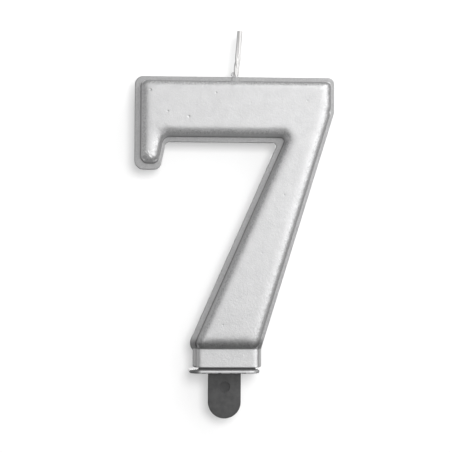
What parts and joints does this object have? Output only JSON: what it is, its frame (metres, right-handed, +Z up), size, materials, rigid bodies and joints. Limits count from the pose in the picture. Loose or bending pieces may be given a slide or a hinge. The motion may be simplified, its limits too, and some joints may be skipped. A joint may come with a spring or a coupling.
{
  "type": "number birthday candle",
  "caption": "Numeral-shaped birthday cake candle, a 7 in silver lacquered wax with a raised rounded body and thin rim, cotton wick on top, and a plastic cake pick below.",
  "frame": {"origin": "centre of the pick plate's flat underside, the face that rests on the cake", "axes": "+Z up through the numeral to the wick, +X to the right as the numeral is read, the reader looks along +Y"},
  "size_m": [0.0507, 0.0116, 0.098],
  "materials": {
    "silver_wax": "paraffin wax under a satin silver lacquer with fine metal flake",
    "wick_cotton": "twisted cotton strands stiffened with clear wax",
    "pick_plastic": "dark grey moulded plastic, satin; the plate carries the numeral's silver lacquer"
  },
  "bodies": {
    "pick": {"pick": "pick_plastic"},
    "candle": {"wax_numeral": "silver_wax", "wick": "wick_cotton"}
  },
  "joints": [
    {"name": "candle_lift", "type": "slide", "parent": "pick", "child": "candle", "axis": [0, 0, 1], "range_m": [0, 0.013]}
  ]
}
